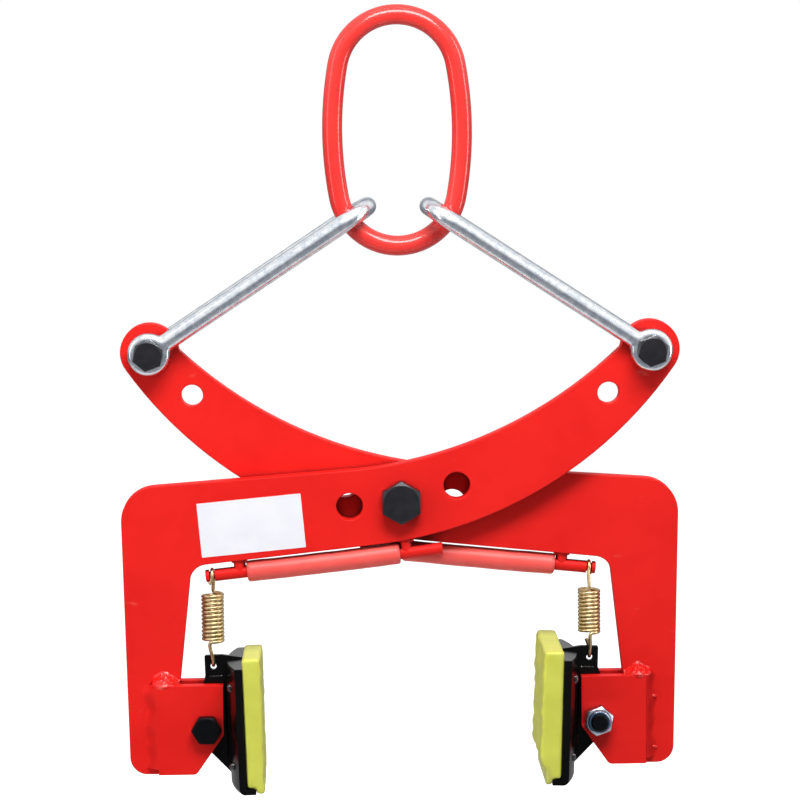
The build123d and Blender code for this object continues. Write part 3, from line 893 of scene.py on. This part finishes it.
@dataclass
class ExtensionSpring:
    """Spring from the bumper rod to the tab, with closed end turns and an open hook at each end.

    The line is drawn about the spring's middle for the left side, and turned half round for the right.
    """

    side: Side
    wire_d: float = 2.9 * MM
    coil_d: float = 18.6 * MM
    whole_turns: int = 12
    closing: float = 0.8 * MM
    head_angle: float = 80.0
    hook_r: float = 4.85 * MM
    hook_reach: float = 6.15 * MM
    head_bulge: float = 2.4 * MM
    head_tail: float = 6.5 * MM
    tail_lean: float = 2.2 * MM
    tail_inset: float = 0.4 * MM
    tail_ease: float = 0.3
    lead_rise: float = 5.5 * MM
    points_per_turn: int = 30

    @property
    def stretch(self) -> Pair:
        """Height of the coil, and of its middle above the hooks' middle; the right is stretched less."""
        return self.side.pick((39.6 * MM, 0.0), (36.6 * MM, -1.5 * MM))

    @property
    def foot(self) -> tuple[int, float, float, float]:
        """Foot of the spring: its neck's side, coil's first angle, neck's bulge and tail's length."""
        return self.side.pick((-1, -100.0, -0.8 * MM, 2.5 * MM), (1, 100.0, -1.5 * MM, 8.5 * MM))

    def build(self) -> None:
        """Wind the wire and dress it."""
        node = self.side.node("spring")
        low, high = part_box(node)
        middle = (low + high) / 2
        turn = Matrix.Diagonal((self.side.sign, self.side.sign, 1))
        reach = Vector((0, 0, (high.z - low.z) / 2 - self.hook_reach))
        points = [middle + turn @ point for point in self.line(reach.z)]
        piece = wire(f"{node}_wire", points, [self.wire_d / 2] * len(points))
        self.side.arm
        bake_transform(piece)
        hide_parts(node)
        dress(piece, SPRING_ZINC)

    def line(self, hook_z: float) -> list[Vector]:
        """Give the middle line of the wire, from the foot hook's tail to the head hook's tail.

        Args:
            hook_z: Height of the head hook's middle above the spring's middle.

        Returns:
            The points of the line.
        """
        radius = (self.coil_d - self.wire_d) / 2
        coil_h, coil_z = self.stretch
        foot_way, foot_angle, foot_bulge, foot_tail = self.foot
        first = math.radians(foot_angle)
        last = math.radians(self.head_angle) + 2 * math.pi * self.whole_turns
        total = round((last - first) / (2 * math.pi) * self.points_per_turn)
        coil = []
        for index in range(total + 1):
            share = index / total
            angle = first + (last - first) * share
            height = coil_z + coil_h * (share - 0.5) + self.closed(angle - first) - self.closed(last - angle)
            coil.append(Vector((radius * math.cos(angle), radius * math.sin(angle), height)))
        foot = self.hook(-hook_z, foot_way, -1, foot_tail)[::-1]
        head = self.hook(hook_z, 1, 1, self.head_tail)
        rise = Vector((0, 0, self.lead_rise))
        bend = Vector((0, 0, self.wire_d / 2))
        foot_swing = Vector((foot_bulge, foot_way * self.wire_d / 2, 0))
        head_swing = Vector((self.head_bulge, self.wire_d / 2, 0))
        coil_in = (coil[1] - coil[0]).normalized() * self.wire_d
        coil_out = (coil[-1] - coil[-2]).normalized() * self.wire_d
        into = self.lead(foot[-1], foot[-1] + foot_swing + rise, coil[0] - coil_in - bend, coil[0])
        out = self.lead(coil[-1], coil[-1] + coil_out + bend, head[0] + head_swing - rise, head[0])
        return foot + into + coil + out + head

    def closed(self, angle: float) -> float:
        """Give how far an end turn is pressed to the next, by its angle from the end."""
        return self.closing * max(0.0, 1 - angle / (2 * math.pi))

    def hook(self, centre_z: float, way: int, up: int, tail: float) -> list[Vector]:
        """Give one hook from its neck round to its tail.

        Args:
            centre_z: Height of the hook's middle.
            way: Side of the neck, -1 to the front or 1 to the back.
            up: 1 for the hook over the rod, -1 for the hook through the tab.
            tail: Length of wire past the half turn.

        Returns:
            The points of the hook.
        """
        count = self.points_per_turn // 2
        points = []
        for index in range(count + 1):
            angle = math.pi * index / count
            points.append(Vector((0, way * self.hook_r * math.cos(angle),
                                  centre_z + up * self.hook_r * math.sin(angle))))
        end = Vector((-up * self.tail_lean, -way * (self.hook_r - self.tail_inset), centre_z - up * tail))
        below = points[-1] - Vector((0, 0, up * tail / 2))
        return points + self.lead(points[-1], below, end.lerp(below, self.tail_ease), end) + [end]

    def lead(self, start: Vector, leaving: Vector, arriving: Vector, end: Vector) -> list[Vector]:
        """Give the smooth run of wire between two points.

        Args:
            start: Point that it leaves.
            leaving: Point that it heads for at first.
            arriving: Point that it comes from at last.
            end: Point that it reaches.

        Returns:
            The points between the two ends.
        """
        points = []
        for index in range(1, self.points_per_turn // 2):
            share = 2 * index / self.points_per_turn
            rest = 1 - share
            points.append(start * rest ** 3 + leaving * 3 * share * rest ** 2
                          + arriving * 3 * share ** 2 * rest + end * share ** 3)
        return points


@dataclass
class PadHolder:
    """Black shoe with its lug, tab and welds, and the polyurethane pad that grips the stone.

    Places of the welds are measured from the jaw bolt, on the upright holder.
    """

    side: Side
    tilt_deg: float = 1.8
    pad_t: float = 15.8 * MM
    pad_h: float = 107.5 * MM
    pad_w: float = 100.0 * MM
    step_l: float = 7.4 * MM
    step_h: float = 4.8 * MM
    voxel: float = 1.2 * MM
    smoothing: int = 16
    edge_round: float = 3.0 * MM
    top_share: float = 0.2
    pebble_seed: float = 3.0
    pebble_pace: float = 130.0
    dimple_pace: float = 48.0
    dimple_share: float = 0.6
    foot_from: float = 0.79
    foot_run: float = 0.13
    weld_r: float = 2.6 * MM
    weld_ripple: float = 3.0 * MM
    lug_weld_place: Pair = (17.9 * MM, 8.6 * MM)
    lug_weld_ends: Pair = (37.0 * MM, -27.0 * MM)
    tab_weld_r: float = 1.7 * MM
    tab_weld_y: float = 2.2 * MM
    tab_weld_z: float = 39.0 * MM
    tab_weld_ends: Pair = (2.0 * MM, 15.0 * MM)
    tack_place: Pair = (20.6 * MM, 32.0 * MM)
    tack_heights: Pair = (35.0 * MM, -28.5 * MM)
    tack_half: float = 3.5 * MM

    @property
    def face_wear(self) -> tuple[float, float, float, float]:
        """Wear of the gripping face: depth of its pebbles, loss at the top, taper down, loss at the foot."""
        return self.side.pick((1.5 * MM, 0.75 * MM, 1.2 * MM, 0.0),
                              (2.4 * MM, -0.6 * MM, -1.0 * MM, 6.0 * MM))

    @property
    def top_cut(self) -> Pair:
        """Cut of the top edge: how far it is lowered, and how far it drops to the back."""
        return self.side.pick((1.5 * MM, 3.0 * MM), (-1.0 * MM, -0.4 * MM))

    def build(self) -> None:
        """Dress the steel, lay the welds and model the pad."""
        side = self.side
        dress_nodes(HOLDER_PAINT, *map(side.node, ("shoe", "lug", "spring_tab")))
        for weld in self.welds():
            piece = weld.build()
            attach(piece, side.holder)
            dress(piece, HOLDER_WELD_PAINT)
        pad = self.model_pad()
        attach(pad, side.holder)
        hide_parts(side.node("pad"))
        dress(pad, PAD_URETHANE)

    def leaning(self, out: float, y: float, up: float) -> Vector:
        """Find a point of the leaning holder by its place on the upright one.

        Args:
            out: How far it is from the jaw bolt towards the stone.
            y: Its depth.
            up: How far it is above the jaw bolt.

        Returns:
            The point.
        """
        bolt = node_centre(self.side.node("jaw_bolt"))
        turn = Matrix.Rotation(-self.side.sign * math.radians(self.tilt_deg), 3, "Y")
        return Vector((bolt.x, 0, bolt.z)) + turn @ Vector((self.side.sign * out, y, up))

    def welds(self) -> list[WeldRun]:
        """Plan the upright welds beside the lug, the short ones at the tab's foot and the shoe's tacks.

        Returns:
            The runs.
        """
        runs = []
        lug_y = node_centre(self.side.node("lug")).y
        tab_y = node_centre(self.side.node("spring_tab")).y
        for name, way in (("front", -1), ("rear", 1)):
            y = lug_y + way * self.lug_weld_place[1]
            start, end = (self.leaning(self.lug_weld_place[0], y, up) for up in self.lug_weld_ends)
            runs.append(WeldRun(self.side.node(f"lug_{name}_weld"), start, end, self.weld_r,
                                ripple=self.weld_ripple, wander=0.25))
            y = tab_y + way * self.tab_weld_y
            start, end = (self.leaning(out, y, self.tab_weld_z) for out in self.tab_weld_ends)
            runs.append(WeldRun(self.side.node(f"tab_{name}_weld"), start, end, self.tab_weld_r,
                                ripple=self.weld_ripple, swell=0.35, wander=0.3))
            y = lug_y + way * self.tack_place[1]
            for index, up in enumerate(self.tack_heights):
                ends = (up + self.tack_half, up - self.tack_half)
                start, end = (self.leaning(self.tack_place[0], y, place) for place in ends)
                runs.append(WeldRun(self.side.node(f"shoe_{name}_tack_{index}"), start, end, self.weld_r,
                                    wander=0.3))
        return runs

    def model_pad(self) -> Object:
        """Model the pad: a cast block on the shoe's lip with rounded edges and a worn gripping face.

        Returns:
            The new pad.
        """
        node = self.side.node("pad")
        piece = begin(bpy.ops.mesh.primitive_cube_add, (self.pad_t, self.pad_w, self.pad_h), size=1.0)
        lip = (2 * self.step_l, 2 * self.pad_w, 2 * self.step_h)
        corner = (-self.side.sign * self.pad_t / 2, 0.0, -self.pad_h / 2)
        cutter = begin(bpy.ops.mesh.primitive_cube_add, lip, size=1.0, location=corner)
        apply_modifier(piece, "BOOLEAN", object=cutter, operation="DIFFERENCE", solver="EXACT")
        bpy.data.objects.remove(cutter)
        apply_modifier(piece, "REMESH", mode="VOXEL", voxel_size=self.voxel)
        apply_modifier(piece, "SMOOTH", factor=0.5, iterations=self.smoothing)
        for vertex in piece.data.vertices:
            self.wear(vertex)
        piece.rotation_euler = (0.0, -self.side.sign * math.radians(self.tilt_deg), 0.0)
        piece.location = node_centre(node)
        return settle(piece, f"{node}_block")

    def wear(self, vertex: MeshVertex) -> None:
        """Move one point of the pad by the cut of its top and the wear of its gripping face.

        Args:
            vertex: Point of the pad about its own middle.
        """
        sign = self.side.sign
        relief, loss, taper, foot_loss = self.face_wear
        lower, drop = self.top_cut
        share = 0.5 - vertex.co.z / self.pad_h
        spot = Vector((sign * self.pebble_seed, vertex.co.y, vertex.co.z))
        vertex.co.z -= max(0.0, 1 - share / self.top_share) * (lower + drop * 2 * vertex.co.y / self.pad_w)
        inset = self.pad_t / 2 - sign * vertex.co.x
        if inset > self.edge_round:
            return
        pebbles = noise.noise(spot * self.pebble_pace)
        pebbles += self.dimple_share * noise.noise(spot * self.dimple_pace)
        rubbed = min(1.0, max(0.0, (share - self.foot_from) / self.foot_run))
        fade = 1 - max(0.0, inset) / self.edge_round
        vertex.co.x -= sign * (relief * fade * 0.5 * pebbles + fade * loss + taper * share
                               + foot_loss * rubbed ** 2 * (3 - 2 * rubbed))


@dataclass
class LockNuts:
    """Nylon rings that close the collars of the lock nuts round the bolt ends.

    Each pair of radii is the one round the bolt and the one under the collar's rim.
    """

    ring_t: float = 1.6 * MM
    ring_bevel: float = 0.4 * MM
    proud: float = 0.35 * MM
    round_sides: int = 48
    pivot_radii: Pair = (10.0 * MM, 12.2 * MM)
    shackle_radii: Pair = (8.0 * MM, 8.9 * MM)
    jaw_radii: Pair = (7.0 * MM, 8.5 * MM)

    def build(self) -> None:
        """Add a ring to each nut."""
        self.ring("pivot_nut", "front_arm", self.pivot_radii, 1)
        for side in Side:
            self.ring(side.node("shackle_nut"), side.node("shackle"), self.shackle_radii, 1)
            self.ring(side.node("jaw_nut"), side.arm, self.jaw_radii, side.sign)

    def ring(self, nut: str, body: str, radii: Pair, way: int) -> None:
        """Seat one ring in the mouth of a nut's collar.

        Args:
            nut: CAD node of the nut.
            body: Body that the nut rides on.
            radii: Inner and outer radius.
            way: 1 where the collar faces the back, -1 where it faces the front.
        """
        low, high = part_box(nut)
        mouth = high.y if way > 0 else low.y
        piece = begin(bpy.ops.mesh.primitive_circle_add, vertices=self.round_sides, radius=radii[0])
        with all_selected():
            bpy.ops.mesh.extrude_edges_move()
            bpy.ops.transform.resize(value=(radii[1] / radii[0], radii[1] / radii[0], 1.0))
        apply_modifier(piece, "SOLIDIFY", thickness=self.ring_t, offset=0.0)
        round_edges(piece, self.ring_bevel)
        piece.rotation_euler = (math.pi / 2, 0.0, 0.0)
        piece.location = Vector(((low.x + high.x) / 2, mouth + way * (self.proud - self.ring_t / 2),
                                 (low.z + high.z) / 2))
        settle(piece, f"{nut}_nylon_ring")
        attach(piece, body)
        dress(piece, RING_NYLON)


@dataclass
class BlankLabel:
    """Blank white film on the front arm beside the pivot."""

    centre_x: float = -119.9 * MM
    centre_z: float = -396.1 * MM
    width: float = 83.3 * MM
    height: float = 43.5 * MM
    lean_deg: float = 5.1
    thickness: float = 0.16 * MM
    corner_r: float = 0.6 * MM

    def build(self) -> None:
        """Cut the film, round its corners and lay it on the plate."""
        face_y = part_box("front_arm")[0].y
        piece = begin(bpy.ops.mesh.primitive_plane_add, (self.width, self.height, 1.0), size=1.0)
        with all_selected():
            bpy.ops.mesh.bevel(offset=self.corner_r, segments=5, affect="VERTICES")
        apply_modifier(piece, "SOLIDIFY", thickness=self.thickness, offset=0.0)
        piece.rotation_euler = (math.pi / 2, -math.radians(self.lean_deg), 0.0)
        piece.location = Vector((self.centre_x, face_y - self.thickness / 2, self.centre_z))
        settle(piece, "blank_label")
        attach(piece, "front_arm")
        dress(piece, LABEL_VINYL)


@dataclass(frozen=True)
class SoftBox:
    """A studio lamp that faces the clamp.

    One that is not mirrored leaves no glint on gloss and metal, and one that does not fill only glints.
    """

    name: str
    place: Triple
    size: Pair
    power: float
    mirrored: bool = True
    fills: bool = True

    def build(self, target: Vector) -> None:
        """Hang the lamp and aim it.

        Args:
            target: Point that it faces.
        """
        lamp = bpy.data.lights.new(self.name, "AREA")
        lamp.shape = "RECTANGLE"
        lamp.size, lamp.size_y = self.size
        lamp.energy = self.power
        made = bpy.data.objects.new(self.name, lamp)
        made.location = self.place
        made.visible_glossy = self.mirrored
        made.visible_diffuse = self.fills
        made.rotation_euler = (target - made.location).to_track_quat("-Z", "Y").to_euler()
        bpy.context.scene.collection.objects.link(made)


@dataclass
class Studio:
    """White studio: a pale floor well below the hanging clamp, soft boxes and the photo's camera.

    Each row of ramps is a change of the light that gloss and metal mirror: the axis that it follows, how it
    eases, where it starts and ends, and the light before and after it. The rows are for the back, straight
    behind the clamp, above and below.
    """

    target: Triple = (0.0, -0.0088, -0.2977)
    camera_place: Triple = (-0.0656, -2.6, -0.0297)
    picture_width: float = 0.638
    sensor_mm: float = 36.0
    roll_deg: float = -0.563
    floor_place: Triple = (0.0, 2.6, -1.1)
    floor_size: float = 6.4
    floor_glow: float = 0.5
    floor_colour: str = "#f2f2f2"
    near_floor: float = 1.5
    far_floor: float = 2.3
    white: str = "#ffffff"
    ambient: str = "#808083"
    near_dark: str = "#888b92"
    ramps: tuple[tuple[str, str, float, float, float, float], ...] = (
        ("Y", "LINEAR", 0.6, 0.8, 1.0, 0.15),
        ("Y", "LINEAR", 0.9, 0.97, 0.0, 1.0),
        ("Z", "SMOOTHSTEP", -0.1, 0.25, 0.0, 1.0),
        ("Z", "LINEAR", -0.22, -0.6, 0.0, 0.15),
    )
    lamps: tuple[SoftBox, ...] = (
        SoftBox("key_box", (0.12, -0.92, 0.76), (1.0, 0.5), 23.8),
        SoftBox("left_fill_box", (-1.3, -1.0, -0.1), (0.7, 0.7), 4.0, mirrored=False),
        SoftBox("right_strip", (1.45, -0.42, 0.0), (0.3, 1.6), 11.0, fills=False),
        SoftBox("left_strip", (-1.35, -0.75, 0.1), (0.3, 1.6), 4.0),
        SoftBox("top_box", (0.0, -0.3, 1.4), (1.4, 0.15), 2.5),
        SoftBox("back_fill_box", (0.4, 1.9, 0.6), (0.9, 0.9), 11.0, mirrored=False),
    )

    def build(self) -> None:
        """Build floor, world, lamps and camera."""
        self.build_floor()
        self.build_world()
        for lamp in self.lamps:
            lamp.build(Vector(self.target))
        self.build_camera()
        bpy.context.scene.view_settings.view_transform = "Standard"

    def build_floor(self) -> None:
        """Lay the floor, which looks white and still takes the clamp's shadow."""
        floor = begin(bpy.ops.mesh.primitive_plane_add, size=self.floor_size, location=self.floor_place)
        floor.name = "studio_floor"
        made, tree = new_material("white_floor")
        path = add_node(tree, "LightPath")
        paper = add_node(tree, "BsdfDiffuse", {"Color": linear(self.floor_colour)})
        place = add_node(tree, "TexCoord").outputs["Object"]
        reach = add_node(tree, "VectorMath", {0: place}, operation="LENGTH")
        level = add_node(tree, "MapRange", {
            "Value": reach, "From Min": self.near_floor, "From Max": self.far_floor,
            "To Min": self.floor_glow, "To Max": 1.0})
        glow = add_node(tree, "Emission", {"Color": linear(self.white), "Strength": level})
        white = add_node(tree, "AddShader", {0: paper, 1: glow})
        seen = add_node(tree, "MixShader", {0: path.outputs["Is Camera Ray"], 1: paper, 2: white})
        add_node(tree, "OutputMaterial", {"Surface": seen})
        floor.data.materials.append(made)

    def build_world(self) -> None:
        """Make the room: white to the camera; to gloss and metal white above the front, else grey."""
        world = bpy.data.worlds.new("studio")
        bpy.context.scene.world = world
        world.use_nodes = True
        tree = world.node_tree
        tree.nodes.clear()
        path = add_node(tree, "LightPath")
        place = add_node(tree, "TexCoord").outputs["Generated"]
        way = add_node(tree, "SeparateXYZ", {"Vector": place})
        levels = ("From Min", "From Max", "To Min", "To Max")
        share, *others = (
            add_node(tree, "MapRange", {"Value": way.outputs[axis], **dict(zip(levels, values))},
                     interpolation_type=easing)
            for axis, easing, *values in self.ramps)
        for operation, ramp in zip(("MAXIMUM", "MULTIPLY", "MAXIMUM"), others):
            share = add_node(tree, "Math", {0: share, 1: ramp}, operation=operation)
        mirrored = add_node(tree, "Mix", {
            0: share, 6: linear(self.near_dark), 7: linear(self.white)}, data_type="RGBA")
        glossy = path.outputs["Is Glossy Ray"]
        lit = add_node(tree, "Mix", {0: glossy, 6: linear(self.ambient), 7: mirrored}, data_type="RGBA")
        clear = add_node(tree, "Math", {
            0: path.outputs["Is Camera Ray"], 1: path.outputs["Is Transmission Ray"]}, operation="MAXIMUM")
        colour = add_node(tree, "Mix", {0: clear, 6: lit, 7: linear(self.white)}, data_type="RGBA")
        room = add_node(tree, "Background", {"Color": colour, "Strength": 1.0})
        add_node(tree, "OutputWorld", {"Surface": room})

    def build_camera(self) -> None:
        """Set the camera where the photo was taken from."""
        data = bpy.data.cameras.new("photo_camera")
        camera = bpy.data.objects.new("photo_camera", data)
        bpy.context.scene.collection.objects.link(camera)
        place = Vector(self.camera_place)
        aim = Vector(self.target) - place
        data.sensor_width = self.sensor_mm
        data.lens = data.sensor_width * aim.length / self.picture_width
        turn = aim.to_track_quat("-Z", "Y").to_matrix().to_4x4()
        roll = Matrix.Rotation(math.radians(self.roll_deg), 4, "Z")
        camera.matrix_world = Matrix.Translation(place) @ turn @ roll
        bpy.context.scene.camera = camera


def main() -> None:
    """Build every part of the scene in order."""
    logging.basicConfig(level=logging.INFO, format="%(name)s: %(message)s")
    noise.seed_set(WANDER_SEED)
    Hanger().build()
    dress_nodes(BOLT_OXIDE, "pivot_bolt")
    dress_nodes(NUT_ZINC, "pivot_nut", "pivot_spacer")
    for side in Side:
        Arm(side).build()
        Sleeve(side).build()
        ExtensionSpring(side).build()
        PadHolder(side).build()
    LockNuts().build()
    BlankLabel().build()
    Studio().build()


if __name__ == "__main__":
    main()
